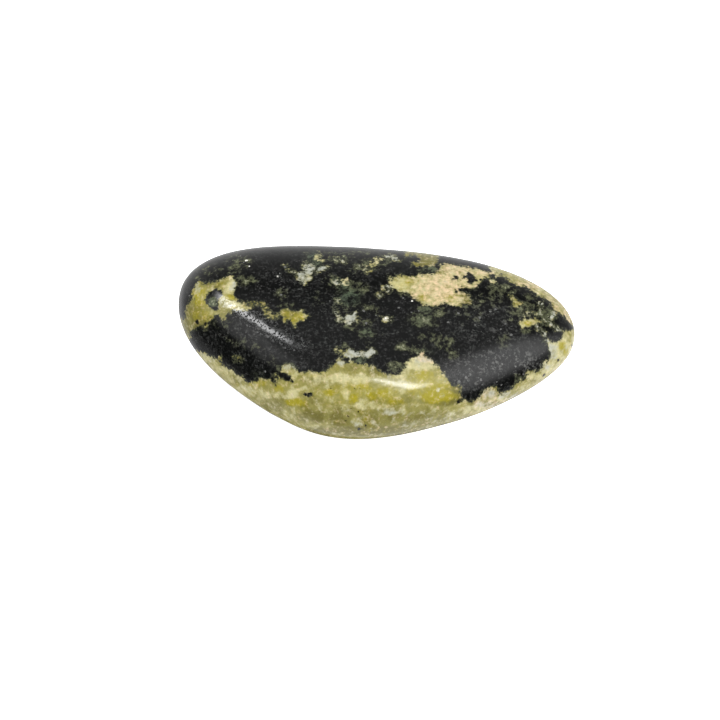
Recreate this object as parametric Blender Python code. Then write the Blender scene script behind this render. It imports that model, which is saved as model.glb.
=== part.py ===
"""Nephrite jade tumbled stone: one pebble, lying on the small flat worn into its underside.

The rough piece is a convex chunk with fifteen broken faces. Tumbling has rounded every edge
between them into a wide soft shoulder and left a few shallow hollows. +X runs along the length
towards the narrower end, the blunt corner of the triangular outline points along -Y, and the
origin is in the middle of the outline at the height of the surface that the stone rests on.
"""

from math import cos, exp, log, radians, sin

import bmesh
import bpy
from mathutils import Vector

MM = 0.001

# Overall size
LENGTH = 40.0 * MM
WIDTH = 22.5 * MM
HEIGHT = 10.9 * MM

# The small flat underneath is this much of the underside, ground away
REST_WEAR = 0.12 * MM

# How far the tumbling has softened each broken edge. An edge's radius is about 1.4 times this
EDGE_WEAR = 2.5 * MM

# The broken faces: the way each one faces, as azimuth from +X and elevation in degrees, and how
# far from the middle of the stone it lies, in mm
BREAKS = {
    "top_back": (85, 85, 7.7),
    "top_front": (282, 77, 7.7),
    "underside_back": (89, -80, 8.1),
    "underside_front": (264, -77, 8.1),
    "underside_left": (185, -81, 8.5),
    "underside_right": (8, -78, 8.3),
    "right_shoulder": (297, 43, 12.3),
    "back": (88, 2, 11.2),
    "back_right": (60, 3, 15.0),
    "right_end": (26, -1, 21.9),
    "front_right": (313, 1, 17.4),
    "front_corner": (285, 1, 13.7),
    "front_left": (228, 8, 14.9),
    "left_end": (189, -6, 22.4),
    "back_left": (132, 5, 20.7),
}

# Shallow hollows that the tumbling has not worn away: azimuth and elevation of each one seen
# from the middle, its width and its depth in mm
HOLLOWS = {
    "back_edge": (93, 14, 6.5, 0.09),
    "front_left_flank": (221, -16, 5.0, 0.10),
    "top_middle": (330, 70, 10.0, 0.10),
    "underside_right": (20, -44, 9.0, 0.22),
    "underside_left": (200, -50, 8.0, 0.18),
    "back_right_flank": (52, -14, 7.0, 0.15),
}

# The block that the chunk is shaped from, and the cells along its X, Y and Z sides
BLOCK = Vector((LENGTH, WIDTH, HEIGHT))
CELLS = (44, 25, 14)

# Newton steps to find the surface along one direction from the middle
STEPS = 14

DARK_GREEN = (0.018, 0.024, 0.018, 1.0)
POLISHED_ROUGHNESS = 0.28


def direction(azimuth, elevation):
    """Unit vector that faces this azimuth and elevation, given in degrees."""
    a = radians(azimuth)
    e = radians(elevation)
    return Vector((cos(a) * cos(e), sin(a) * cos(e), sin(e)))


FACES = [(direction(azimuth, elevation), distance * MM)
         for azimuth, elevation, distance in BREAKS.values()]


def worn_surface(ray):
    """The point where a ray from the middle leaves the chunk, with its edges worn round.

    The distance past each broken face is blended into one soft maximum, which is zero on the
    worn surface. It is convex along the ray, so Newton steps from outside close in on it.
    """
    ray = ray.normalized()
    reach = LENGTH
    slopes = [facing.dot(ray) for facing, distance in FACES]
    for _ in range(STEPS):
        pulls = [exp((reach * slope - distance) / EDGE_WEAR)
                 for slope, (facing, distance) in zip(slopes, FACES)]
        total = sum(pulls)
        rate = sum(pull * slope for pull, slope in zip(pulls, slopes)) / total
        reach -= EDGE_WEAR * log(total) / rate
    return ray * reach


def hollowed(point, hollow_middles):
    """The same point, sunk towards the middle of the stone where it lies in a hollow."""
    sink = 0.0
    for middle, width, depth in hollow_middles:
        off = (point - middle).length / (width / 2.0)
        if off < 1.0:
            sink += depth * (1.0 - off * off) ** 2
    return point - point.normalized() * sink


def gridded_block():
    """A block with an even grid of faces on each side, about the size of the stone."""
    bm = bmesh.new()
    bmesh.ops.create_cube(bm, size=1.0)
    for axis, cells in enumerate(CELLS):
        along = [edge for edge in bm.edges
                 if abs((edge.verts[0].co - edge.verts[1].co)[axis]) > 0.5]
        bmesh.ops.subdivide_edges(bm, edges=along, cuts=cells - 1, use_grid_fill=True)
    bmesh.ops.scale(bm, vec=BLOCK, verts=bm.verts)
    return bm


def tumble(bm):
    """Move the grid out or in to the worn surface, hollows included."""
    hollow_middles = [(worn_surface(direction(azimuth, elevation)), width * MM, depth * MM)
                      for azimuth, elevation, width, depth in HOLLOWS.values()]
    for vert in bm.verts:
        vert.co = hollowed(worn_surface(vert.co), hollow_middles)


def bring_to_size(bm):
    """Stretch the stone to its stated size and stand its lowest point at the wear depth."""
    low = Vector([min(v.co[axis] for v in bm.verts) for axis in range(3)])
    high = Vector([max(v.co[axis] for v in bm.verts) for axis in range(3)])
    bmesh.ops.translate(bm, vec=-(low + high) / 2.0, verts=bm.verts)
    stated = Vector((LENGTH, WIDTH, HEIGHT + REST_WEAR))
    factors = Vector([stated[axis] / (high - low)[axis] for axis in range(3)])
    bmesh.ops.scale(bm, vec=factors, verts=bm.verts)
    bmesh.ops.translate(bm, vec=(0.0, 0.0, stated.z / 2.0 - REST_WEAR), verts=bm.verts)


def grind_rest_spot(bm):
    """Grind the underside flat where the stone rests."""
    everything = bm.verts[:] + bm.edges[:] + bm.faces[:]
    cut = bmesh.ops.bisect_plane(bm, geom=everything, plane_co=(0.0, 0.0, 0.0),
                                 plane_no=(0.0, 0.0, -1.0), clear_outer=True)
    rim = [item for item in cut["geom_cut"] if isinstance(item, bmesh.types.BMEdge)]
    bmesh.ops.edgeloop_fill(bm, edges=rim)


def polished_stone():
    """The dark green of the polished mineral."""
    material = bpy.data.materials.new("polished_dark_green_stone")
    material.use_nodes = True
    shader = material.node_tree.nodes["Principled BSDF"]
    shader.inputs["Base Color"].default_value = DARK_GREEN
    shader.inputs["Roughness"].default_value = POLISHED_ROUGHNESS
    shader.inputs["Metallic"].default_value = 0.0
    return material


def main():
    for old in list(bpy.data.objects):
        bpy.data.objects.remove(old)

    bm = gridded_block()
    tumble(bm)
    bring_to_size(bm)
    grind_rest_spot(bm)
    bmesh.ops.recalc_face_normals(bm, faces=bm.faces)

    mesh = bpy.data.meshes.new("stone")
    bm.to_mesh(mesh)
    bm.free()
    mesh.shade_smooth()
    mesh.set_sharp_from_angle(angle=radians(30.0))
    mesh.materials.append(polished_stone())

    collection = bpy.data.collections.new("tumbled_stone")
    bpy.context.scene.collection.children.link(collection)
    collection.objects.link(bpy.data.objects.new("stone", mesh))


main()
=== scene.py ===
"""Nephrite jade tumbled stone on a white table, seen from the photograph's angle.

The stone is one polished pebble: a near-black green rock with patches of a pale mineral in it, which
run from chartreuse to cream, white and peach. Everything is in metres in the row frame, and the
stone's shape is worked out in millimetres.
"""

import bmesh
import bpy
import numpy as np
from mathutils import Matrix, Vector, noise


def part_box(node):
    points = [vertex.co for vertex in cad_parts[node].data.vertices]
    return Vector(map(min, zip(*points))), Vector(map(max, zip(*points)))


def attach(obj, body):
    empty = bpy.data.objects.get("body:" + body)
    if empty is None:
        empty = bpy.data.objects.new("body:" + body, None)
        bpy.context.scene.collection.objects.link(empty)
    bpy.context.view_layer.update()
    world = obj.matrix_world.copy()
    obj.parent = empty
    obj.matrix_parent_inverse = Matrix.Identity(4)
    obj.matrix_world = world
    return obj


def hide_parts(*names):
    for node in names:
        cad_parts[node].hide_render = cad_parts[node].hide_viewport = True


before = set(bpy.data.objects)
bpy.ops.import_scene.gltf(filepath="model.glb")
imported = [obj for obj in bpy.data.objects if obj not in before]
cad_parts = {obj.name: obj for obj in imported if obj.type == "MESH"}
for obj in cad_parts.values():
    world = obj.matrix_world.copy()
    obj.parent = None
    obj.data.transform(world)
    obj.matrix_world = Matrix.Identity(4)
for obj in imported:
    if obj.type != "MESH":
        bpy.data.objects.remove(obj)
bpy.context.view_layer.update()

# The view
# The photograph looks down on the stone from 45 degrees, square to its length. A long lens keeps the
# outline almost free of perspective. The stone's 40 mm cover 396.5 of the photograph's 720 pixels.
MM = 0.001
PHOTO_SIDE = 720
STONE_PIXELS = 396.5
VIEW_ELEVATION = np.radians(45.0)
LENS = 100.0 * MM
SENSOR = 36.0 * MM
STONE_LOW, STONE_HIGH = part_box("stone")
STONE_SIZE = np.array(STONE_HIGH - STONE_LOW) / MM
PIXEL = STONE_SIZE[0] / STONE_PIXELS
PHOTO_MIDDLE = np.array((-1.576, 0.0, 2.67))
VIEW_BACK = np.array((0.0, -np.cos(VIEW_ELEVATION), np.sin(VIEW_ELEVATION)))
VIEW_UP = np.array((0.0, np.sin(VIEW_ELEVATION), np.cos(VIEW_ELEVATION)))
VIEW_DISTANCE = PHOTO_SIDE * PIXEL * LENS / SENSOR

camera_data = bpy.data.cameras.new("photo_lens")
camera_data.lens = LENS / MM
camera_data.sensor_width = SENSOR / MM
camera_data.clip_start = 10.0 * MM
camera = bpy.data.objects.new("photo_camera", camera_data)
bpy.context.scene.collection.objects.link(camera)
camera.location = Vector(PHOTO_MIDDLE + VIEW_BACK * VIEW_DISTANCE) * MM
camera.rotation_euler = (np.pi / 2.0 - VIEW_ELEVATION, 0.0, 0.0)
bpy.context.scene.camera = camera
bpy.context.scene.view_settings.view_transform = "Standard"


def in_photo(points):
    """Where the photograph shows these points of the stone, in its pixels, x right and y down."""
    off = points - PHOTO_MIDDLE
    zoom = PHOTO_SIDE * LENS / SENSOR / (VIEW_DISTANCE - off @ VIEW_BACK)
    middle = PHOTO_SIDE / 2.0
    return np.stack([middle + zoom * off[:, 0], middle - zoom * (off @ VIEW_UP)], axis=1)


# The stone
# A convex chunk of rock with fifteen broken faces, tumbled in grit for weeks: every edge is worn to a
# wide soft shoulder and a few shallow hollows are left. It lies on a small spot worn flat.

# The azimuth and elevation that each broken face looks towards, in degrees, and how far it lies from
# the middle, in mm
BREAKS = {
    "top_back": (85, 85, 7.7),
    "top_front": (282, 77, 7.7),
    "underside_back": (89, -80, 8.1),
    "underside_front": (264, -77, 8.1),
    "underside_left": (185, -81, 8.5),
    "underside_right": (8, -78, 8.3),
    "right_shoulder": (297, 43, 12.3),
    "back": (88, 2, 11.2),
    "back_right": (60, 3, 15.0),
    "right_end": (26, -1, 21.9),
    "front_right": (313, 1, 17.4),
    "front_corner": (285, 1, 13.7),
    "front_left": (228, 8, 14.9),
    "left_end": (189, -6, 22.4),
    "back_left": (132, 5, 20.7),
}
# The azimuth and elevation of each hollow's middle, in degrees, and its width and depth in mm
HOLLOWS = {
    "back_edge": (93, 14, 6.5, 0.09),
    "front_left_flank": (221, -16, 5.0, 0.10),
    "top_middle": (330, 70, 10.0, 0.10),
    "underside_right": (20, -44, 9.0, 0.22),
    "underside_left": (200, -50, 8.0, 0.18),
    "back_right_flank": (52, -14, 7.0, 0.15),
}
# How widely the edges are worn and how deep the resting spot is, in mm, the steps that find the worn
# surface, and the cells along each side of the block that is shaped into the stone
EDGE_WEAR = 2.5
REST_WEAR = 0.12
NEWTON_STEPS = 14
BLOCK_CELLS = (216, 126, 62)


def direction(azimuth, elevation):
    """Unit vectors that face these azimuths and elevations, given in degrees."""
    a = np.radians(azimuth)
    e = np.radians(elevation)
    return np.stack([np.cos(a) * np.cos(e), np.sin(a) * np.cos(e), np.sin(e)], axis=-1)


break_azimuth, break_elevation, break_distance = np.array(list(BREAKS.values())).T
BREAK_FACING = direction(break_azimuth, break_elevation)


def worn_surface(rays):
    """Where rays from the middle leave the chunk, with its edges worn round."""
    rays = rays / np.linalg.norm(rays, axis=1)[:, None]
    slopes = rays @ BREAK_FACING.T
    reach = np.full(len(rays), STONE_SIZE[0])
    for _ in range(NEWTON_STEPS):
        pulls = np.exp((reach[:, None] * slopes - break_distance) / EDGE_WEAR)
        total = pulls.sum(axis=1)
        rate = (pulls * slopes).sum(axis=1) / total
        reach -= EDGE_WEAR * np.log(total) / rate
    return rays * reach[:, None]


def hollowed(points):
    """The same points, sunk towards the middle of the stone where they lie in a hollow."""
    sink = np.zeros(len(points))
    for azimuth, elevation, width, depth in HOLLOWS.values():
        middle = worn_surface(direction([azimuth], [elevation]))
        off = np.linalg.norm(points - middle, axis=1) / (width / 2.0)
        sink += depth * np.clip(1.0 - off * off, 0.0, None) ** 2
    return points * (1.0 - sink / np.linalg.norm(points, axis=1))[:, None]


bm = bmesh.new()
bmesh.ops.create_cube(bm, size=1.0)
for axis, cells in enumerate(BLOCK_CELLS):
    along = [edge for edge in bm.edges if abs((edge.verts[0].co - edge.verts[1].co)[axis]) > 0.5]
    bmesh.ops.subdivide_edges(bm, edges=along, cuts=cells - 1, use_grid_fill=True)

rays = np.array([vert.co for vert in bm.verts]) * STONE_SIZE
places = hollowed(worn_surface(rays))
low = places.min(axis=0)
high = places.max(axis=0)
stated = STONE_SIZE + (0.0, 0.0, REST_WEAR)
places = (places - (low + high) / 2.0) * stated / (high - low)
places[:, 2] += stated[2] / 2.0 - REST_WEAR

# Tumbling leaves the polished face very slightly wavy, because the two minerals wear at different
# rates: the length and depth of each wave in mm
WAVES = ((5.5, 0.030), (2.2, 0.010))
outward = places - (0.0, 0.0, STONE_SIZE[2] / 2.0)
outward /= np.linalg.norm(outward, axis=1)[:, None]
for length, depth in WAVES:
    swell = np.array([noise.noise(Vector(place) / length) for place in places])
    places -= outward * (depth * (0.5 + swell))[:, None]
places[:, 2] = np.maximum(places[:, 2], 0.0)
for vert, place in zip(bm.verts, places):
    vert.co = Vector(place) * MM

bmesh.ops.recalc_face_normals(bm, faces=bm.faces)
stone_mesh = bpy.data.meshes.new("polished_pebble")
bm.to_mesh(stone_mesh)
bm.free()
stone_mesh.shade_smooth()

# Where the patches of pale mineral lie in the photograph, in its pixels: the tint of each, how strong
# it is, and the outline. One with no tint has the plain colour and what the clouds below give it. The
# finest raggedness of the edges comes from the material
OUTLINES = {
    "front": (None, 0.0, [
        (160, 314), (182, 319), (186, 324), (190, 331), (191, 337), (188, 342), (192, 350), (197, 351),
        (200, 351), (203, 353), (207, 353.5), (209, 355.5), (212, 356), (216, 358.5), (219, 358),
        (221, 356.5), (221, 360), (218, 361), (222, 363), (223, 366.5), (226, 366), (229, 368.5),
        (233, 371), (236, 374), (239, 375.5), (243, 377), (246, 380), (249, 382.5), (253, 382),
        (256, 380.5), (259, 378), (265, 379.5), (270, 379), (273, 381), (276, 384), (277, 382),
        (274, 378.5), (273, 376), (276, 373), (281, 371), (282, 367), (286, 364.5), (290, 364.5),
        (294, 367), (297, 369), (300, 372), (305, 372.5), (308, 371.5), (313, 372.5), (318, 372),
        (322, 371.5), (326, 370), (329, 368.5), (331, 366), (334, 364), (337, 361.5), (339, 359),
        (341, 360.5), (345, 362.5), (349, 361.5), (352, 360), (355, 361.5), (358, 363), (362, 364.5),
        (366, 364), (370, 365), (374, 366), (376, 368), (378, 370), (381, 372), (385, 374), (388, 374),
        (394, 373.5), (398, 373), (401, 371.5), (404, 369), (406, 366), (405, 363), (407, 361.5),
        (410, 360), (413, 358), (416, 356.5), (418.5, 354.5), (419.5, 352), (423, 352.5), (424, 356),
        (427, 358), (430, 359.5), (434, 362), (437, 365), (440, 369), (443, 373), (447, 377), (449, 381),
        (450.5, 384), (453, 386), (456, 386), (460, 385), (461, 388), (460, 394), (460, 398),
        (462, 400), (466, 401), (470, 401.5), (475, 401), (477, 399), (480, 397), (481, 392),
        (484, 391), (486, 389), (492, 387.5), (496, 388), (498, 391), (499, 393), (504, 392.5),
        (508, 390.5), (511, 389), (512, 387), (515, 384.5), (519, 383), (521, 381), (524, 379),
        (527, 377.5), (528, 374), (527, 372), (530, 371), (535, 371.5), (538, 371), (541, 369),
        (543, 366), (544, 363), (546, 360.5), (549, 359), (550, 357), (550, 353), (549, 349), (548, 346),
        (546.5, 343), (544, 338), (543, 333), (546, 331), (548, 334), (547, 338), (551, 342),
        (557, 341.5), (560, 339), (562, 335), (563, 331), (568, 330.5), (572, 329), (576, 327),
        (610, 327), (610, 480), (150, 480)]),
    "left": (None, 0.0, [
        (197, 283), (199, 281), (202, 283), (205, 283.5), (210, 282), (215, 282), (218.5, 281),
        (220, 278.5), (226, 278), (229, 276.5), (233, 276.5), (234, 279), (236, 282), (237, 285),
        (236, 288), (235, 291), (233.5, 294), (236, 297), (238, 300), (243, 303), (248, 306),
        (251, 308), (247, 311), (241, 311), (234, 310), (231, 312), (230, 314.5), (227, 315.5),
        (225, 318), (223, 320), (221, 318), (218, 315.5), (213, 317), (210, 319), (208, 321),
        (208, 325), (207, 330), (205, 331), (204, 327), (200, 326), (198, 328), (192, 330), (188, 332),
        (176, 330), (176, 318), (184, 318), (185, 314), (186.5, 309), (188, 303), (191, 299),
        (192, 296), (192, 292), (194, 288)]),
    "tongue": ("olive", 0.4, [
        (261, 304), (264, 303), (267, 306), (269, 309), (272, 312), (276, 313.5), (281, 312), (283, 316),
        (277, 318.5), (272, 319), (268, 318), (266, 316), (264, 312.5), (262, 309)]),
    "middle": ("cream", 0.15, [
        (280.5, 312), (283, 309), (288, 308), (291, 310), (294, 311), (298, 312), (300, 310.5),
        (303, 310), (304, 313), (308.5, 316), (304, 319), (301, 321), (298, 321.5), (297, 325),
        (295, 327), (293, 324), (292, 321), (290, 319), (287, 320), (285, 322.5), (283, 320),
        (282, 316)]),
    "upper_white": ("chalk", 0.9, [
        (302, 265), (306, 262), (311, 263), (314, 264), (316, 266), (320, 267), (324, 266), (329.5, 266),
        (326, 268.5), (322, 270), (318, 271.5), (314, 271.5), (309, 270), (304, 270.5), (302, 268),
        (304, 266.5)]),
    "upper_white_low": ("chalk", 0.8, [
        (295, 274), (298, 272.5), (302, 272), (306, 270.5), (309, 270), (312, 271), (314, 274),
        (312.5, 276), (313, 278), (310, 280.5), (307, 281.5), (305, 285), (302, 282.5), (299, 281),
        (297.5, 279), (299, 277)]),
    "scratch": ("chalk", 0.6, [
        (283.5, 265.5), (286.5, 266), (290.5, 269.5), (295, 271.5), (298, 273), (296, 275), (289, 271.5)]),
    "upper_cream": ("cream", 0.7, [
        (313, 259.5), (314.5, 256), (317, 253), (320.5, 252.5), (321, 255), (318, 257.5), (320, 259.5),
        (325, 259.5), (322, 261.5), (317, 261)]),
    "top_fleck_a": ("chalk", 0.9, [
        (385, 256), (390, 254.5), (395, 255.5), (398, 258.5), (401, 261), (396, 260.5), (392, 259.5),
        (387, 258)]),
    "top_fleck_b": ("cream", 0.6, [
        (369, 262.5), (373, 258.5), (378, 258), (384, 258), (384, 260.5), (379, 261.5), (377.5, 264.5),
        (374, 266.5), (369.5, 266)]),
    "top_fleck_c": ("chalk", 0.6, [
        (364, 270), (366, 267), (370, 266.5), (373.5, 267.5), (371.5, 270.5), (369, 272.5), (366, 273)]),
    "top_fleck_d": ("chalk", 0.7, [(355.5, 266.5), (360, 264.5), (363.5, 265), (361, 268.5), (358, 268)]),
    "top_fleck_e": ("chalk", 0.7, [
        (329, 258), (335, 256.5), (340, 257.5), (344, 260), (347.5, 260), (346, 263), (341, 263),
        (338, 260), (334, 259.5)]),
    "top_fleck_f": ("cream", 0.9, [
        (340, 280), (344, 279.5), (348, 277.5), (347.5, 282), (348, 285.5), (345, 286.5), (342, 283.5)]),
    "top_fleck_g": ("chalk", 0.8, [
        (331, 279), (337, 278), (339.5, 281), (340.5, 284.5), (337, 284.5), (333, 281.5)]),
    "top_fleck_h": ("chalk", 0.6, [(335, 300), (338, 298.5), (340.5, 303.5), (337.5, 303.5)]),
    "top_fleck_i": ("chalk", 0.7, [(376, 294), (381, 293), (385, 296), (380, 297)]),
    "centre_lace": ("chalk", 0.9, [(334, 310), (337, 310.5), (340.5, 315), (337.5, 316), (335, 313.5)]),
    "centre_white": ("chalk", 0.9, [
        (336, 320.5), (340, 317), (344, 316.5), (347, 314.5), (351, 314), (353, 311.5), (356, 312),
        (356.5, 317), (354, 319.5), (359, 320.5), (358, 322.5), (353, 322.5), (350.5, 325), (347, 324),
        (345, 322.5), (339, 322.5)]),
    "small_white": ("white", 0.8, [
        (381, 316.5), (384, 317.5), (388, 316.5), (392, 317), (392.5, 320.5), (389, 321.5), (384, 321),
        (382.5, 319)]),
    "low_white": ("chalk", 1.0, [
        (344, 353), (347.5, 350), (350, 348.5), (354, 350.5), (357.5, 351), (360, 353), (363, 351.5),
        (366, 352.5), (368, 350.5), (368.5, 347), (371, 347.5), (374, 349.5), (377, 352.5), (373.5, 354.5),
        (369, 356.5), (366, 359), (362, 357.5), (358, 355.5), (354, 357.5), (351, 359.5), (348, 357.5),
        (345, 356)]),
    "low_white_end": ("chalk", 0.3, [
        (334.5, 349.5), (338, 348), (341.5, 349.5), (343, 353), (339, 355), (336, 353)]),
    "small_green": ("chalk", 0.8, [
        (382, 286), (387, 285), (389.5, 287), (393, 288.5), (391.5, 291.5), (388, 294), (384.5, 292),
        (383.5, 289)]),
    "peach": ("cream", 0.35, [
        (388, 276), (391, 277), (395, 276.5), (401, 275.5), (407, 276.5), (414, 276.5), (417, 276),
        (418.5, 273.5), (421, 272.5), (421, 275), (425, 274.5), (430, 274), (434, 273), (438, 271),
        (439, 267.5), (440.5, 264), (447, 263.5), (455, 264.5), (462, 266), (468, 267.5), (476, 269),
        (484, 270), (490, 271.5), (500, 271), (500, 274), (497, 276), (495, 279), (496, 282),
        (493.5, 283), (491, 281), (488, 278.5), (485, 277.5), (482, 279), (480, 282), (478, 284),
        (477, 287), (475, 289), (471, 289), (468, 288), (462, 287.5), (458, 289.5), (457, 291.5),
        (465, 293), (467, 294.5), (470, 296), (471, 299), (472.5, 302), (471, 304.5), (466, 304.5),
        (462, 305), (459, 307), (455, 306.5), (450, 306), (447, 304), (443, 304), (440, 305.5),
        (435, 307), (429, 307), (424, 305.5), (420, 303), (416, 300.5), (413, 298.5), (411, 295),
        (403, 294), (400, 293.5), (397, 291), (394, 289.5), (392, 288), (390, 284), (389, 280)]),
    "olive_rim": ("olive", 0.8, [
        (404, 248), (420, 246), (436, 248), (440, 257), (438, 261), (436, 263), (433, 266), (427, 266.5),
        (420, 265.5), (412, 264.5), (414, 262.5), (419, 262), (420, 258.5), (417, 256), (412, 255),
        (405, 257.5)]),
    "right_rim": (None, 0.0, [
        (486, 262), (490, 270.5), (497, 273), (500, 275), (504, 277), (508, 279), (511, 282), (515, 283.5),
        (517, 286), (520, 286.5), (526, 286.5), (528, 287), (530, 289), (533, 292), (536, 294),
        (538, 296), (544, 298), (547, 300), (550, 302), (552, 305), (554, 308), (556, 311), (559, 313),
        (563, 316), (567, 320), (570, 323), (572, 326), (576, 328), (600, 300), (520, 250)]),
    "vein": ("chalk", 0.2, [
        (508.5, 295), (512, 294.5), (515, 298), (518, 301), (522.5, 304), (520, 305.5), (518, 308.5),
        (514, 306.5), (512.5, 304), (514, 301), (511, 298)]),
    "right_vein": ("cream", 0.35, [
        (519, 324), (523, 319), (524, 317), (526, 319.5), (529, 319), (533, 320), (534.5, 317),
        (536, 314.5), (539.5, 316.5), (537.5, 319.5), (540.5, 321), (537, 323), (533, 325.5), (531, 327.5),
        (526, 327), (522, 328)]),
    "right_web": ("chalk", 0.9, [
        (541, 314), (546, 316), (550, 315), (553.5, 312), (555.5, 315), (551.5, 319), (549, 321.5),
        (545.5, 322), (543, 319)]),
    "left_link": ("olive", 0.9, [
        (240, 300), (246, 302), (254, 302.5), (262, 303), (261, 306.5), (250, 307)]),
    "right_web_up": ("chalk", 0.8, [
        (537, 302.5), (543.5, 302.5), (543.5, 307), (542.5, 315), (538.5, 315), (539.5, 306)]),
    "right_web_low": ("chalk", 0.9, [
        (535.5, 325), (540, 327), (545, 330), (547.5, 334), (546.5, 338), (549, 342), (545, 342),
        (544, 337), (542.5, 333), (539, 331), (535, 329)]),
    "right_web_mid": ("chalk", 0.8, [
        (549, 320.5), (552.5, 320), (555.5, 326), (560, 328.5), (562, 331.5), (556, 331), (551.5, 327),
        (549.5, 324)]),
    "right_web_left": ("chalk", 0.8, [
        (519, 309), (522.5, 310), (526, 312.5), (531, 312.5), (530, 316), (523, 315.5), (520, 312)]),
    "gap_fleck": ("olive", 0.5, [(233, 356.5), (239, 357.5), (242, 359.5), (240, 361.5), (236, 360)]),
}
# The most, in mm, that these thin patches count as solid, so that the black shows through them
LACY = {
    "top_fleck_a": 0.02, "top_fleck_b": 0.06, "top_fleck_c": 0.02, "top_fleck_d": -0.06,
    "top_fleck_e": -0.05, "top_fleck_f": 0.08, "top_fleck_g": 0.0, "top_fleck_h": 0.0, "top_fleck_i": 0.0,
    "centre_lace": -0.02, "small_white": 0.06, "small_green": -0.02, "left_link": -0.06, "gap_fleck": -0.05,
    "upper_cream": 0.08, "upper_white": 0.08, "upper_white_low": 0.15, "centre_white": 0.20,
    "low_white": 0.20, "low_white_end": 0.03, "right_web": 0.0, "right_web_up": -0.07,
    "right_web_low": 0.05, "right_web_mid": -0.04, "right_web_left": -0.05, "vein": 0.08, "tongue": 0.06,
    "scratch": 0.0,
}
# Black mineral that lies inside the pale patches. Its edge is sharper than theirs by this factor, and
# lies this far past its outlines on that sharper scale, in mm
DARK_SHARPNESS = 1.6
DARK_SPREAD = 0.06
DARK_OUTLINES = {
    "left_hole": [(210.5, 292.5), (213, 289.5), (216, 288.5), (218, 290.5), (221.5, 290.5), (222, 293.5),
                  (220, 296), (219, 299), (217, 302), (218.5, 306), (219, 309), (215.5, 310), (212, 308.5),
                  (208, 305), (205, 301), (205.5, 297), (208, 294.5)],
    "front_blob": [(276.5, 374), (280, 372.3), (286, 373), (289, 375), (291, 378), (293, 381.5),
                   (288, 381.5), (283, 378.5)],
    "notch_speck": [(275, 376), (277.5, 376.5), (278, 378.5), (275.5, 378)],
    "peach_blob": [(463, 278.5), (464, 276), (466, 275.5), (468, 273), (470, 272.7), (473, 275.5),
                   (475.5, 279), (478, 279.5), (476, 281), (474, 280.5), (472.5, 283), (469.5, 283.5),
                   (468, 281.5), (468.5, 279), (466, 278)],
    "peach_prong": [(456.5, 289.5), (460, 288), (463, 289), (466, 288), (470, 289.5), (476, 289),
                    (476, 297), (472, 296), (469, 293.5), (464, 292.5), (459, 291.5)],
    "peach_mark": [(452.5, 279.5), (455, 276.7), (457.5, 277), (457, 279), (454.5, 279.3)],
    "peach_low": [(439, 308), (442, 305.3), (445, 303.2), (448, 305.7), (452, 306.3), (455, 307),
                  (452, 311), (443, 311)],
    "tail_dot": [(489.5, 276), (492, 273.8), (495.5, 275), (495, 278), (492, 278.5)],
    "tail_low": [(482.5, 280), (485.5, 278.2), (489, 280), (489, 284), (484, 284)],
    "left_notch": [(251.5, 309), (256, 306), (260, 306), (263, 311), (265, 317), (259, 316), (253, 312)],
    "front_mark": [(303, 394.5), (305.5, 393), (308, 394.3), (311, 393.5), (312.5, 397), (309, 396),
                   (305.5, 396)],
    "right_blob": [(547, 332), (551, 331), (557, 331.5), (563, 331), (562, 335), (559, 339), (556, 341.5),
                   (552, 341), (548, 338)],
}
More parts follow.
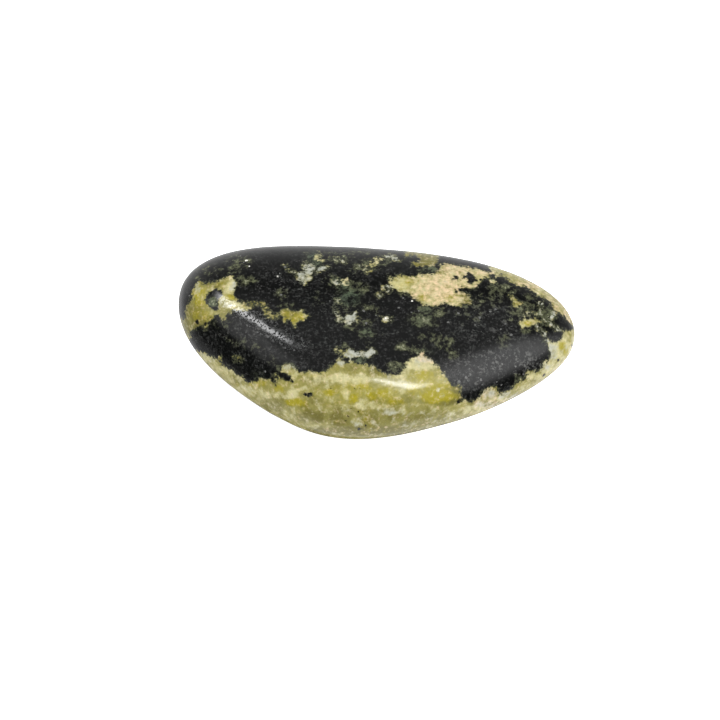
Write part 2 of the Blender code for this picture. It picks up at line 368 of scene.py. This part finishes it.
# Clouds of tint, of speckle, of pits (worn) and of scuffed light grains, which are thickest in the sheen
# at the lower right and there partly painted sheen: middle, half width, half height and strength
CLOUDS = {
    "yellow": [
        (426, 385, 22, 13, 0.75), (375, 392, 52, 9, 0.45), (424, 376, 10, 6, 1.2), (437, 396, 15, 7, 1.4),
        (415, 389, 12, 5, 0.6), (383, 391, 8, 7, 0.9), (373, 395, 7, 5, 0.7), (295, 402, 9, 4, 1.2),
        (279, 389, 6, 5, 0.7), (328, 393, 7, 4, 0.9), (353, 398, 5, 5, 1.0), (365, 387, 12, 4, 0.6),
        (200, 296, 8, 14, 0.6), (230, 297, 7, 4, 0.9), (405, 284, 12, 6, 0.4), (297, 318, 7, 5, 0.6),
        (286, 315, 4, 6, 0.4), (562, 345, 4, 5, 1.0), (566, 353, 3, 5, 1.0), (528, 323, 4, 3, 0.7),
        (343, 396, 4, 8, 0.5), (200, 315, 10, 8, 0.6), (422, 297, 5, 4, 0.6), (450, 297, 8, 6, 0.5),
        (395, 399, 10, 5, 0.6), (260, 383, 14, 4, 0.4)],
    # The wide olive clouds low on the front darken the stone towards its bottom edge: partly its own olive
    # tone, partly painted shade near the table
    "olive": [
        (467, 300, 7, 6, 1.3), (289, 315, 9, 6, 0.8), (490, 404, 24, 4, 0.5), (197, 322, 10, 8, 1.0),
        (438, 401, 20, 3, 0.5), (314, 416, 14, 7, 0.9), (370, 431, 60, 5, 1.0), (400, 418, 60, 10, 0.5),
        (275, 405, 16, 10, 0.4), (545, 294, 34, 12, 0.2), (338, 418, 10, 10, 0.9), (454, 394, 8, 9, 1.3),
        (445, 402, 12, 4, 0.9), (452, 271, 14, 4, 0.5), (313, 380, 16, 5, 0.4), (302, 404, 8, 4, 0.4),
        (372, 371, 8, 5, 0.6), (352, 367, 8, 4, 0.4), (315, 401, 8, 4, 0.5), (400, 412, 40, 5, 0.4),
        (348, 414, 8, 7, 0.6), (195, 314, 10, 12, 0.7), (186, 325, 6, 10, 0.9), (216, 285, 4, 5, 0.6),
        (208, 285, 6, 3, 0.5), (225, 310, 6, 6, 0.4), (375, 398, 8, 5, 0.4), (408, 398, 9, 5, 0.4),
        (240, 379, 10, 4, 0.5), (272, 385, 6, 4, 0.4), (530, 380, 6, 3, 0.3), (395, 402, 8, 3, 0.5)],
    "peach": [
        (442, 288, 28, 17, 0.65), (462, 274, 16, 9, 0.5), (450, 268, 14, 6, 0.5), (438, 303, 12, 4, 0.5),
        (415, 296, 8, 5, 0.6), (488, 403, 14, 6, 0.35), (421, 355, 4, 4, 1.0), (567, 318, 6, 10, 0.6),
        (530, 286, 16, 6, 0.4), (553, 304, 12, 10, 0.35), (488, 395, 12, 6, 0.5), (500, 402, 14, 4, 0.2),
        (427, 359, 9, 5, 0.7), (485, 273, 10, 3, 0.6), (478, 286, 5, 3, 0.5)],
    "chalk": [
        (424, 360, 12, 5, 0.7), (389, 377, 3, 4, 0.6), (388, 411, 14, 4, 0.5), (410, 420, 60, 9, 0.2),
        (350, 425, 14, 5, 0.3), (489, 394, 9, 5, 0.8), (487, 405, 16, 4, 0.5), (552, 352, 6, 9, 0.9),
        (543, 367, 8, 4, 0.7), (512, 396, 16, 5, 0.5), (224, 302, 5, 4, 0.6), (198, 289, 3, 7, 0.7),
        (234, 286, 3, 6, 0.8), (228, 305, 6, 3, 0.6), (290, 367, 8, 4, 0.5), (341, 363, 7, 3, 0.6),
        (247, 388, 8, 4, 0.3), (212, 360, 10, 3, 0.2), (232, 288, 3, 5, 0.5), (205, 355, 6, 2, 0.4),
        (404, 424, 8, 4, 0.4), (555, 355, 5, 4, 0.4), (550, 366, 6, 4, 0.4), (568, 345, 4, 8, 0.3)],
    "cream": [
        (317, 379, 9, 5, 0.5), (402, 284, 11, 7, 0.7), (292, 394, 6, 6, 0.9), (244, 391, 14, 7, 0.45),
        (341, 379, 9, 5, 0.8), (358, 381, 9, 6, 0.8), (422, 362, 18, 8, 1.2), (442, 380, 6, 10, 0.6),
        (402, 376, 7, 6, 0.5), (396, 392, 12, 4, 0.4), (345, 393, 5, 8, 0.5), (385, 409, 20, 5, 0.35),
        (490, 402, 18, 6, 0.35), (560, 346, 12, 14, 0.8), (550, 366, 12, 8, 0.6), (232, 286, 5, 8, 0.8),
        (228, 292, 4, 4, 0.6), (199, 293, 4, 5, 0.5), (232, 304, 8, 4, 0.9), (218, 370, 16, 5, 0.4),
        (540, 292, 30, 12, 0.2), (480, 408, 16, 5, 0.5), (365, 407, 12, 4, 0.4), (433, 385, 5, 5, 0.4),
        (270, 396, 12, 5, 0.4), (532, 376, 8, 4, 0.5), (205, 358, 10, 4, 0.5), (235, 380, 10, 3, 0.4)],
    "white": [(438, 391, 2, 2, 0.9), (439, 389, 2, 1.5, 0.9)],
    "green": [
        (350, 298, 13, 8, 1.1), (344, 290, 6, 8, 0.8), (367, 332, 8, 6, 0.6), (426, 310, 9, 4, 0.5),
        (424, 320, 14, 9, 0.3), (428, 350, 8, 5, 0.3), (312, 257, 5, 7, 1.0), (318, 264, 6, 5, 0.7),
        (430, 270, 12, 5, 0.4), (212, 302, 6, 6, 0.5), (337, 281, 7, 4, 0.7), (362, 360, 10, 4, 0.6),
        (290, 367, 8, 4, 0.2), (258, 374, 7, 4, 0.4)],
    "speckle": [
        (210, 270, 14, 5, 0.7), (240, 262, 12, 8, 0.8), (246, 280, 11, 5, 1.0), (234, 272, 5, 4, 1.0),
        (282, 294, 8, 7, 0.6), (286, 306, 8, 4, 0.8), (250, 304, 11, 3, 1.1), (318, 260, 12, 6, 0.6),
        (340, 259, 14, 5, 0.8), (372, 264, 14, 6, 1.0), (388, 258, 12, 5, 1.0), (358, 269, 10, 5, 0.7),
        (350, 288, 16, 9, 0.7), (364, 290, 7, 4, 1.0), (380, 293, 8, 4, 0.7), (330, 283, 8, 8, 0.6),
        (345, 307, 14, 6, 0.6), (370, 310, 10, 8, 0.7), (362, 322, 10, 6, 0.9), (350, 327, 9, 4, 1.1),
        (368, 335, 12, 8, 0.6), (360, 360, 9, 4, 1.1), (345, 346, 4, 4, 0.9), (425, 320, 14, 9, 1.0),
        (426, 309, 9, 4, 0.9), (440, 312, 8, 5, 1.0), (405, 347, 8, 5, 1.2), (417, 351, 9, 6, 0.9),
        (446, 343, 10, 9, 0.9), (453, 355, 6, 4, 1.0), (430, 338, 14, 9, 0.5), (286, 368, 9, 5, 1.2),
        (396, 367, 11, 5, 1.2), (500, 289, 18, 6, 0.9), (487, 300, 15, 9, 0.6), (545, 316, 13, 10, 1.3),
        (524, 310, 14, 8, 1.0), (531, 296, 7, 4, 0.9), (527, 331, 7, 3, 1.0), (553, 311, 4, 6, 0.6),
        (558, 328, 5, 3, 1.0), (515, 315, 10, 8, 0.6), (237, 340, 14, 6, 0.45), (222, 322, 10, 8, 0.6),
        (252, 348, 12, 6, 0.35), (237, 361, 6, 4, 0.6), (270, 360, 10, 6, 0.3), (232, 270, 6, 4, 0.9),
        (196, 278, 6, 2, 0.9), (430, 270, 12, 4, 0.8), (503, 340, 7, 8, 0.6), (258, 346, 5, 3, 0.7),
        (318, 299, 6, 8, 0.5), (212, 302, 6, 6, 1.2), (450, 254, 30, 4, 0.3), (350, 253, 50, 3, 0.5),
        (520, 378, 9, 5, 0.8), (470, 315, 14, 10, 0.4), (466, 304, 6, 4, 0.8)],
    "worn": [
        (225, 304, 8, 5, 1.0), (238, 311, 10, 6, 1.0), (252, 319, 10, 6, 1.0), (266, 327, 10, 6, 1.0),
        (280, 335, 10, 6, 1.0), (294, 343, 10, 6, 1.0)],
    # Scuffed light grains, thickest in the sheen at the lower right and on the left flank, where they
    # partly paint the sheen's mottle
    "grit_and_sheen": [
        (500, 363, 46, 13, 1.0), (275, 285, 26, 16, 0.3), (470, 380, 14, 8, 0.9), (490, 320, 36, 24, 0.4),
        (255, 335, 36, 12, 0.3), (280, 350, 20, 10, 0.2), (390, 335, 20, 10, 0.15), (330, 300, 20, 20, 0.2),
        (310, 345, 20, 10, 0.15)],
}


def reach_inside(outline, spots):
    """How far inside an outline each spot lies, in pixels, and less than zero outside it."""
    corners = np.array(outline, float)
    nearest = np.full(len(spots), np.inf)
    inside = np.zeros(len(spots), bool)
    for start, end in zip(corners, np.roll(corners, -1, axis=0)):
        side = end - start
        along = np.clip((spots - start) @ side / (side @ side), 0.0, 1.0)
        off = np.linalg.norm(spots - start - along[:, None] * side, axis=1)
        nearest = np.minimum(nearest, off)
        if start[1] != end[1]:
            crosses = (start[1] > spots[:, 1]) != (end[1] > spots[:, 1])
            level = start[0] + side[0] * (spots[:, 1] - start[1]) / side[1]
            inside ^= crosses & (spots[:, 0] < level)
    return np.where(inside, nearest, -nearest)


def eased(value, start, end):
    """Zero before start, one after end, and a smooth rise between them."""
    t = np.clip((value - start) / (end - start), 0.0, 1.0)
    return t * t * (3.0 - 2.0 * t)


# Reach counts no further than this in mm. A patch's tint starts and is full at these reaches in mm, and
# a cloud is full and gone at these shares of its half width and half height
REACH_LIMIT = 2.0
TINT_STARTS, TINT_FULL = -0.25, 0.1
CLOUD_FULL, CLOUD_GONE = 0.3, 1.6
spots = in_photo(places)
pale_reach = np.full(len(places), -REACH_LIMIT)
tints = {name: np.zeros(len(places)) for name in CLOUDS}
for name, (tint, strength, outline) in OUTLINES.items():
    reach = reach_inside(outline, spots) * PIXEL
    pale_reach = np.maximum(pale_reach, np.minimum(reach, LACY.get(name, REACH_LIMIT)))
    if tint:
        tints[tint] = np.maximum(tints[tint], strength * eased(reach, TINT_STARTS, TINT_FULL))
for outline in DARK_OUTLINES.values():
    dark_reach = DARK_SHARPNESS * reach_inside(outline, spots) * PIXEL
    pale_reach = np.minimum(pale_reach, -dark_reach - DARK_SPREAD)
for name, clouds in CLOUDS.items():
    for x, y, half_width, half_height, strength in clouds:
        off = np.hypot((spots[:, 0] - x) / half_width, (spots[:, 1] - y) / half_height)
        tints[name] = np.maximum(tints[name], strength * eased(-off, -CLOUD_GONE, -CLOUD_FULL))

# The far side and the underside, which the photograph doesn't show: the front's pale zone runs on
# under the stone, and the black beyond it holds patches of the same kind. Azimuth, elevation, radius
# in mm and tint
HIDDEN_PATCHES = {
    "under_front": (275, -52, 9.0, "yellow"),
    "under_front_left": (238, -30, 5.0, "olive"),
    "under_right": (330, -35, 6.5, "cream"),
    "right_end": (12, -8, 5.5, "peach"),
    "left_end": (190, -22, 4.0, "yellow"),
    "back_left": (128, 8, 3.2, "yellow"),
    "back_middle": (96, -12, 2.2, "chalk"),
    "back_right": (52, -6, 3.4, "olive"),
    "under_back": (80, -60, 3.0, "peach"),
    "under_left": (170, -55, 3.2, "cream"),
}
# Their edges sway over these lengths in mm, by these amounts in mm. Each patch's tint rises to this
# strength between these reaches in mm. Clouds of seven kinds, this strong and this long in mm, lie over
# the whole hidden side
RAGGED = ((5.0, 4.5), (1.8, 2.4))
SWAY_START = (7.0, 3.0, 1.0)
HIDDEN_TINT = 0.6
HIDDEN_STARTS, HIDDEN_FULL = -0.4, 1.0
CLOUDED = {"yellow": 0.9, "olive": 0.8, "cream": 0.9, "peach": 0.3, "green": 0.8, "speckle": 1.3,
           "grit_and_sheen": 1.0}
CLOUD_LENGTH = 2.4
CLOUD_SWELL = 0.45


def drift(length, start):
    """Smooth noise over the stone's points, from about -0.5 to 0.5, with swells of this length in mm."""
    return np.array([noise.noise(Vector(place) / length + Vector(start)) for place in places])


hidden_reach = np.full(len(places), -REACH_LIMIT)
hidden_tints = {name: np.zeros(len(places)) for name in CLOUDS}
sway = sum(depth * drift(length, SWAY_START) for length, depth in RAGGED)
stretch = stated / (high - low)
for azimuth, elevation, radius, tint in HIDDEN_PATCHES.values():
    middle = (worn_surface(direction([azimuth], [elevation])) - (low + high) / 2.0) * stretch
    middle[:, 2] += stated[2] / 2.0 - REST_WEAR
    reach = radius - np.linalg.norm(places - middle, axis=1) + sway
    hidden_reach = np.maximum(hidden_reach, reach)
    tinted = HIDDEN_TINT * eased(reach, HIDDEN_STARTS, HIDDEN_FULL)
    hidden_tints[tint] = np.maximum(hidden_tints[tint], tinted)
for number, (name, strength) in enumerate(CLOUDED.items()):
    cloudy = strength * eased(drift(CLOUD_LENGTH, (11.0 * number, 2.0, 5.0)), 0.0, CLOUD_SWELL)
    hidden_tints[name] = np.maximum(hidden_tints[name], cloudy)

# The front's layout gives way to the hidden one where the surface turns away from the camera
TURNED_AWAY = -0.35
normals = np.zeros(len(places) * 3)
stone_mesh.vertices.foreach_get("normal", normals)
faces_view = normals.reshape(-1, 3) @ VIEW_BACK
shown = eased(faces_view, TURNED_AWAY, 0.0)
layout = {"pale_reach": shown * pale_reach + (1.0 - shown) * hidden_reach}
for name in CLOUDS:
    layout[name] = shown * tints[name] + (1.0 - shown) * hidden_tints[name]
for name, values in layout.items():
    attribute = stone_mesh.attributes.new(name, "FLOAT", "POINT")
    attribute.data.foreach_set("value", values.astype(np.float32))

# Single grains that stand out, finer than the mesh: pixel and radius in mm. The first two lists are
# bright crystals, white and grey, and the last one is black inclusions in the pale mineral
GRAIN_MARKS = {
    "white": ("F2F0E6", [
        (247, 260.5, 0.12), (249, 266, 0.08), (277.8, 275.5, 0.11), (411.5, 300.5, 0.08),
        (385, 318.5, 0.05)]),
    "grey": ("626260", [
        (284.5, 266.5, 0.09), (479, 317.5, 0.09), (495, 309.5, 0.10), (363, 311, 0.11), (375, 316, 0.08),
        (448, 323, 0.09), (481, 380, 0.09), (459, 381, 0.11), (501, 385, 0.08), (515, 366, 0.08),
        (458, 314, 0.08), (281, 295, 0.11), (279.5, 273, 0.05), (403, 298, 0.08), (490, 312, 0.09),
        (506, 324, 0.09), (501, 329, 0.06), (511, 335, 0.11), (475, 324, 0.08), (398, 308, 0.10),
        (412, 312, 0.09), (419, 311.5, 0.08), (466, 377, 0.12), (470, 374, 0.09), (241, 256, 0.09),
        (243, 262, 0.09), (265, 371.5, 0.08), (189, 295.5, 0.08), (367, 323, 0.11), (330, 301, 0.06),
        (502, 364, 0.08), (483, 384, 0.06), (524, 374, 0.10), (497, 382, 0.07)]),
    "black": ("141512", [
        (197.5, 321.5, 0.24), (206, 323.5, 0.18), (358.5, 428.2, 0.17), (558, 360.6, 0.13),
        (543.5, 375.3, 0.18), (306, 394.5, 0.13), (310, 394, 0.10), (480, 279.5, 0.12), (395, 291, 0.22),
        (391.5, 285.5, 0.10), (572, 345, 0.18), (416, 405, 0.05), (366, 425, 0.07), (348, 415, 0.05),
        (358, 412, 0.05), (345, 421, 0.06), (353, 406, 0.04), (331, 389, 0.05), (458, 401, 0.20),
        (354, 389, 0.05), (357, 389.5, 0.05), (360, 389.2, 0.04), (342, 408, 0.04), (351, 409, 0.035),
        (356, 411, 0.04), (346, 405, 0.035), (359, 407, 0.035)]),
}

# Polished rock: a glassy skin over two minerals. The dark one is grainy and nearly black, with olive
# and green hazes where the pale one thins out in it. The pale one is cloudy, and its grains show as
# soft flecks
DARK_DEEP = "090A09"
DARK_GREY = "464745"
# The light grey of the scuffed grains, which also paints the sheen's mottle at the lower right
SCUFFED_AND_SHEEN_GREY = "747471"
HAZE = "53563F"
HAZE_GREEN = "4A5543"
SPECK = "96977C"
PALE_BODY = "A19B59"
PALE_TINTS = {
    "olive": "746F38",
    "cream": "D6CF9C",
    "yellow": "A99E28",
    "peach": "E3CAA3",
    "chalk": "BCBFB4",
    "white": "F6F4E6",
}
STONE_IOR = 1.6
# The numbers of a Mix node's two colour inputs and of its colour output
MIX_A, MIX_B, MIXED = 6, 7, 2


def linear(hex_colour):
    """The linear colour of an sRGB hex value."""
    shares = [int(hex_colour[i:i + 2], 16) / 255.0 for i in (0, 2, 4)]
    return [s / 12.92 if s <= 0.04045 else ((s + 0.055) / 1.055) ** 2.4 for s in shares] + [1.0]


def add(tree, kind, inputs, **settings):
    """Add one node with its settings. An input is a socket that feeds it or a plain value."""
    node = tree.nodes.new("ShaderNode" + kind)
    for name, value in settings.items():
        setattr(node, name, value)
    for socket, given in inputs.items():
        if isinstance(given, bpy.types.NodeSocket):
            tree.links.new(given, node.inputs[socket])
        else:
            node.inputs[socket].default_value = given
    return node


def worked(tree, operation, *values, clamp=False):
    """The result of one operation on these values, held from 0 to 1 if clamped."""
    return add(tree, "Math", dict(enumerate(values)), operation=operation, use_clamp=clamp).outputs[0]


def ranged(tree, value, span, to=(0.0, 1.0), soft=True):
    """A value carried from one span to another and held inside it, eased at both ends if soft."""
    spans = {"From Min": span[0], "From Max": span[1], "To Min": to[0], "To Max": to[1]}
    return add(tree, "MapRange", {"Value": value, **spans},
               interpolation_type="SMOOTHSTEP" if soft else "LINEAR").outputs[0]


def mixed(tree, share, under, over):
    """One colour laid over another by a share."""
    return add(tree, "Mix", {0: share, MIX_A: under, MIX_B: over}, data_type="RGBA").outputs[MIXED]


rock = bpy.data.materials.new("tumble_polished_rock")
rock.use_nodes = True
tree = rock.node_tree
shader = tree.nodes["Principled BSDF"]
coordinates = add(tree, "TexCoord", {}).outputs["Object"]
in_mm = add(tree, "VectorMath", {0: coordinates, "Scale": 1.0 / MM}, operation="SCALE").outputs[0]
fields = {name: add(tree, "Attribute", {}, attribute_name=name).outputs["Fac"] for name in layout}

# Cloudy noise for each size of grain: its size in mm, how many finer sizes it holds and how rough it
# is. Each is shifted from the one before, so that no two follow the same pattern
GRAINS = {
    "cloud": (2.6, 3.0, 0.55),
    "clot": (1.1, 3.0, 0.6),
    "fleck": (0.75, 3.0, 0.6),
    "grain": (0.42, 2.0, 0.65),
    "dust": (0.24, 1.0, 0.6),
}
GRAIN_SHIFT = (9.0, 5.0, 0.0)
grains = {}
for number, (name, (size, detail, rough)) in enumerate(GRAINS.items()):
    shift = tuple(step * number for step in GRAIN_SHIFT)
    apart = add(tree, "VectorMath", {0: in_mm, 1: shift}, operation="ADD").outputs[0]
    grains[name] = add(tree, "TexNoise", {"Vector": apart, "Scale": 1.0 / size, "Detail": detail,
                                          "Roughness": rough}).outputs["Fac"]


def blend_of(start, parts):
    """A sum of noises and fields, each times its share, on top of a start value or socket."""
    total = start
    for source, share in parts:
        total = worked(tree, "MULTIPLY_ADD", source, share, total)
    return total


# The edge of the pale mineral wanders by these amounts in mm for each grain size. Half of them comes
# off again, because the noise is centred on a half. Dark passes to pale over this reach in mm
WANDER = {"clot": 0.5, "grain": 0.8, "dust": 0.4}
PALE_EDGE = (-0.06, 0.14)
edge = blend_of(fields["pale_reach"], [(grains[name], amount) for name, amount in WANDER.items()])
edge = worked(tree, "SUBTRACT", edge, 0.5 * sum(WANDER.values()))
pale = ranged(tree, edge, PALE_EDGE)

# The dark mineral: deep black with grey grains
DARK_GRAIN_SPAN = (1.02, 1.80)
dark_grain = blend_of(0.0, [(grains["cloud"], 0.4), (grains["grain"], 0.9), (grains["dust"], 0.9)])
dark = mixed(tree, ranged(tree, dark_grain, DARK_GRAIN_SPAN), linear(DARK_DEEP), linear(DARK_GREY))

# Its scuffed parts show light grains in clusters where the layout puts them: real grains, and painted
# sheen where they lie thickest, in the sheen at the lower right
SCUFF_AND_SHEEN_SPAN = (0.82, 1.08)
SCUFF_AND_SHEEN_MOST = 0.8
scuffs_and_sheen = blend_of(0.0, [(grains["fleck"], 1.0), (grains["dust"], 0.6)])
scuffs_and_sheen = ranged(tree, scuffs_and_sheen, SCUFF_AND_SHEEN_SPAN, (0.0, SCUFF_AND_SHEEN_MOST), soft=False)
scuffs_and_sheen = worked(tree, "MULTIPLY", scuffs_and_sheen, fields["grit_and_sheen"])
dark = mixed(tree, scuffs_and_sheen, dark, linear(SCUFFED_AND_SHEEN_GREY))

# Thin pale mineral in the dark one: a haze, which also lies along the pale edges, greener where the
# layout says so, and brighter specks where it is thickest
HAZE_SPAN = (1.0, 1.35)
HAZE_SPECKLE = (0.0, 0.5)
NEAR_EDGE = (-0.22, 0.0)
NEAR_MOST = 0.5
GREEN_SPAN = (0.85, 1.35)
GREEN_MOST = 0.7
SPECK_SPAN = (1.28, 1.45)
SPECK_MOST = 0.85
thickness = blend_of(0.0, [(grains["fleck"], 1.0), (grains["grain"], 0.6), (grains["dust"], 0.3),
                           (fields["speckle"], 0.22)])
near = ranged(tree, edge, NEAR_EDGE, (0.0, NEAR_MOST), soft=False)
haze_there = ranged(tree, fields["speckle"], HAZE_SPECKLE, soft=False)
haze = worked(tree, "MULTIPLY", ranged(tree, thickness, HAZE_SPAN), haze_there)
haze = worked(tree, "MAXIMUM", haze, near)
green = worked(tree, "MULTIPLY", fields["green"], 1.0, clamp=True)
green_grain = ranged(tree, thickness, GREEN_SPAN, (0.0, GREEN_MOST), soft=False)
haze = worked(tree, "MULTIPLY_ADD", green, green_grain, haze, clamp=True)
haze_tint = mixed(tree, green, linear(HAZE), linear(HAZE_GREEN))
dark = mixed(tree, haze, dark, haze_tint)
specks = ranged(tree, thickness, SPECK_SPAN, (0.0, SPECK_MOST))
specks = worked(tree, "MULTIPLY", specks, haze_there)
dark = mixed(tree, specks, dark, linear(SPECK))

# The pale mineral: each tint of the layout is broken up by flecks of its own. For each tint: the grain,
# its contrast, and how much of the tint lies everywhere. Fine grain is added to every tint, and cream
# gives way to yellow and olive
BREAK_UP = {"olive": ("clot", 2.2, 0.30), "cream": ("fleck", 2.6, 0.26), "yellow": ("clot", 2.2, 0.04),
            "peach": ("grain", 1.6, 0.05), "chalk": ("fleck", 2.0, -0.1), "white": ("grain", 0.8, -0.25)}
FINE_GRAIN = 0.6
CREAM_GIVES_WAY = {"yellow": -0.4, "olive": -0.35}
TINT_SPAN = (0.05, 1.1)
TINT_MOST = 0.92
colour = linear(PALE_BODY)
for name, (grain, contrast, everywhere) in BREAK_UP.items():
    parts = [(grains[grain], contrast), (fields[name], 1.0), (grains["grain"], FINE_GRAIN)]
    if name == "cream":
        parts += [(fields[other], share) for other, share in CREAM_GIVES_WAY.items()]
    level = blend_of(everywhere - (contrast + FINE_GRAIN) / 2.0, parts)
    share = ranged(tree, level, TINT_SPAN, (0.0, TINT_MOST))
    colour = mixed(tree, share, colour, linear(PALE_TINTS[name]))

# Its grains differ in brightness, and it darkens over this reach in mm towards its edge
LIGHT_SPAN = (0.6, 1.2)
LIGHT = (0.68, 0.95)
RIM_REACH = (0.0, 0.35)
RIM_SHADE = (0.75, 1.0)
light = blend_of(0.0, [(grains["grain"], 1.0), (grains["dust"], 0.8)])
light = ranged(tree, light, LIGHT_SPAN, LIGHT, soft=False)
light = worked(tree, "MULTIPLY", light, ranged(tree, edge, RIM_REACH, RIM_SHADE, soft=False))
colour = add(tree, "VectorMath", {0: colour, "Scale": light}, operation="SCALE").outputs[0]
surface = mixed(tree, pale, dark, colour)

# Each single grain is a small ball with a ragged, soft edge, set where the photograph shows it on the
# near side. Its edge runs from the first to the second of these shares of its radius
NEAR_FACING = 0.05
BALL_RAGGED = 0.35
BALL_EDGE = (1.4, 0.7)
near_side = np.flatnonzero(faces_view > NEAR_FACING)
ragged = worked(tree, "MULTIPLY_ADD", grains["dust"], BALL_RAGGED, -BALL_RAGGED / 2.0)
for tint, marks in GRAIN_MARKS.values():
    present = 0.0
    for x, y, radius in marks:
        closest = near_side[np.argmin(np.hypot(*(spots[near_side] - (x, y)).T))]
        away = add(tree, "VectorMath", {0: in_mm, 1: tuple(places[closest])}, operation="DISTANCE")
        away = worked(tree, "ADD", away.outputs["Value"], ragged)
        ball = ranged(tree, away, [radius * share for share in BALL_EDGE], soft=False)
        present = worked(tree, "MAXIMUM", ball, present)
    surface = mixed(tree, present, surface, linear(tint))
tree.links.new(surface, shader.inputs["Base Color"])

# The polish is broken by fine pits, where soft grains were plucked out. The layout has them only along
# the left ridge, because the photograph shows them only in the highlight there
PIT_SPAN = (0.54, 0.60)
PIT_DEPTH = 0.016
PIT_ROUGHNESS = 0.8
GLOSS_SPAN = (0.3, 0.7)
GLOSS = (0.08, 0.15)
pits = ranged(tree, grains["dust"], PIT_SPAN)
worn = worked(tree, "MULTIPLY", pits, fields["worn"], clamp=True)
gloss = ranged(tree, grains["grain"], GLOSS_SPAN, GLOSS, soft=False)
gloss = blend_of(gloss, [(worn, PIT_ROUGHNESS)])
tree.links.new(gloss, shader.inputs["Roughness"])
shader.inputs["IOR"].default_value = STONE_IOR

lumpy = worked(tree, "MULTIPLY", grains["grain"], fields["grit_and_sheen"])
skin = blend_of(0.0, [(grains["dust"], 0.15), (lumpy, 0.5), (worn, -1.0)])
plucked = add(tree, "Bump", {"Strength": 1.0, "Distance": PIT_DEPTH * MM, "Height": skin})
tree.links.new(plucked.outputs[0], shader.inputs["Normal"])

stone_mesh.materials.append(rock)
pebble = bpy.data.objects.new("polished_pebble", stone_mesh)
bpy.context.scene.collection.objects.link(pebble)
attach(pebble, "root")
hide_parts("stone")

# The table
# A wide sheet of matt white card. The stone's polish mirrors the studio below in its place, because
# the photographed stone mirrors a table that is white only close around it. It glows a little, and
# more to the camera, which keeps the shadow as faint as the photograph's.
TABLE_SIDE = 4.0
TABLE_WHITE = 0.9
TABLE_ROUGHNESS = 0.9
TABLE_GLOW = 0.4
SEEN_GLOW = 1.0
bm = bmesh.new()
bmesh.ops.create_grid(bm, x_segments=1, y_segments=1, size=TABLE_SIDE / 2.0)
table_mesh = bpy.data.meshes.new("table")
bm.to_mesh(table_mesh)
bm.free()
card = bpy.data.materials.new("matt_white_card")
card.use_nodes = True
card_shader = card.node_tree.nodes["Principled BSDF"]
card_shader.inputs["Base Color"].default_value = (TABLE_WHITE, TABLE_WHITE, TABLE_WHITE, 1.0)
card_shader.inputs["Roughness"].default_value = TABLE_ROUGHNESS
card_shader.inputs["Emission Color"].default_value = (1.0, 1.0, 1.0, 1.0)
card_seen = add(card.node_tree, "LightPath", {}).outputs["Is Camera Ray"]
glow = ranged(card.node_tree, card_seen, (0.0, 1.0), (TABLE_GLOW, SEEN_GLOW), soft=False)
card.node_tree.links.new(glow, card_shader.inputs["Emission Strength"])
table_mesh.materials.append(card)
table = bpy.data.objects.new("table", table_mesh)
bpy.context.scene.collection.objects.link(table)
table.visible_glossy = False

# The studio
# A tent of wide panels gives the even light. The rest is what the polish mirrors: a narrow lamp behind
# on the left that draws the streak on the left ridge, a thin one at the front right that draws the
# glint on the front ridge, windows, a wall, the backdrop, the ceiling and the lit table.

# The tent's panels in metres: azimuth, elevation and power in watts
TENT_SIDE = 1.4
TENT_DISTANCE = 1.0
TENT = {"tent_top": (0, 90, 8.0), "tent_right": (0, 25, 4.0), "tent_back": (90, 25, 4.0),
        "tent_left": (180, 25, 4.0), "tent_front": (270, 25, 4.0)}
for name, (azimuth, elevation, watts) in TENT.items():
    lamp = bpy.data.lights.new(name, "AREA")
    lamp.size = TENT_SIDE
    lamp.energy = watts
    panel = bpy.data.objects.new(name, lamp)
    away = Vector(direction(azimuth, elevation))
    panel.location = away * TENT_DISTANCE
    panel.rotation_euler = away.to_track_quat("Z", "Y").to_euler()
    panel.visible_glossy = False
    bpy.context.scene.collection.objects.link(panel)

# Azimuth and elevation of each panel's middle, its half width and how soft its sides are, its half
# height and how soft its top and bottom are, all in degrees, and its brightness
PANELS = {
    "streak_lamp": (144, 62.5, 8.5, 2, 11, 3, 9.0),
    "front_lamp": (-50, 54, 2.0, 1, 14, 3, 18.0),
    "left_window": (-178, 46, 26, 12, 18, 10, 0.6),
    "right_window": (-33, 34, 18, 12, 24, 14, 1.4),
    "right_wall": (-5, 0, 14, 12, 25, 15, 0.6),
    "backdrop": (90, -15, 65, 25, 38, 30, 0.75),
    "lit_table": (-60, -70, 110, 40, 38, 12, 1.1),
    "ceiling": (0, 90, 200, 10, 36, 8, 0.18),
}
ROOM_GLOW = 0.03
studio = bpy.data.worlds.new("studio")
studio.use_nodes = True
tree = studio.node_tree
toward = add(tree, "TexCoord", {}).outputs["Generated"]
height = add(tree, "SeparateXYZ", {0: toward}).outputs["Z"]
elevation = worked(tree, "ARCSINE", height)
brightness = add(tree, "Value", {}).outputs[0]
brightness.default_value = ROOM_GLOW
for azimuth, middle, half_width, soft_side, half_height, soft_top, strength in PANELS.values():
    turned = add(tree, "VectorRotate", {"Vector": toward, "Angle": -np.radians(azimuth)},
                 rotation_type="Z_AXIS")
    split = add(tree, "SeparateXYZ", {0: turned.outputs[0]}).outputs
    across = worked(tree, "ARCTAN2", split["Y"], split["X"])
    rise = worked(tree, "SUBTRACT", elevation, np.radians(middle))
    share = strength
    for offset, half, soft in ((across, half_width, soft_side), (rise, half_height, soft_top)):
        fade = np.radians((half - soft, half + soft))
        share = ranged(tree, worked(tree, "ABSOLUTE", offset), fade, (share, 0.0))
    brightness = worked(tree, "ADD", brightness, share)
sky_seen = add(tree, "LightPath", {}).outputs["Is Camera Ray"]
brightness = worked(tree, "MAXIMUM", brightness, sky_seen)
tree.links.new(brightness, tree.nodes["Background"].inputs["Strength"])
tree.nodes["Background"].inputs["Color"].default_value = (1.0, 1.0, 1.0, 1.0)
bpy.context.scene.world = studio
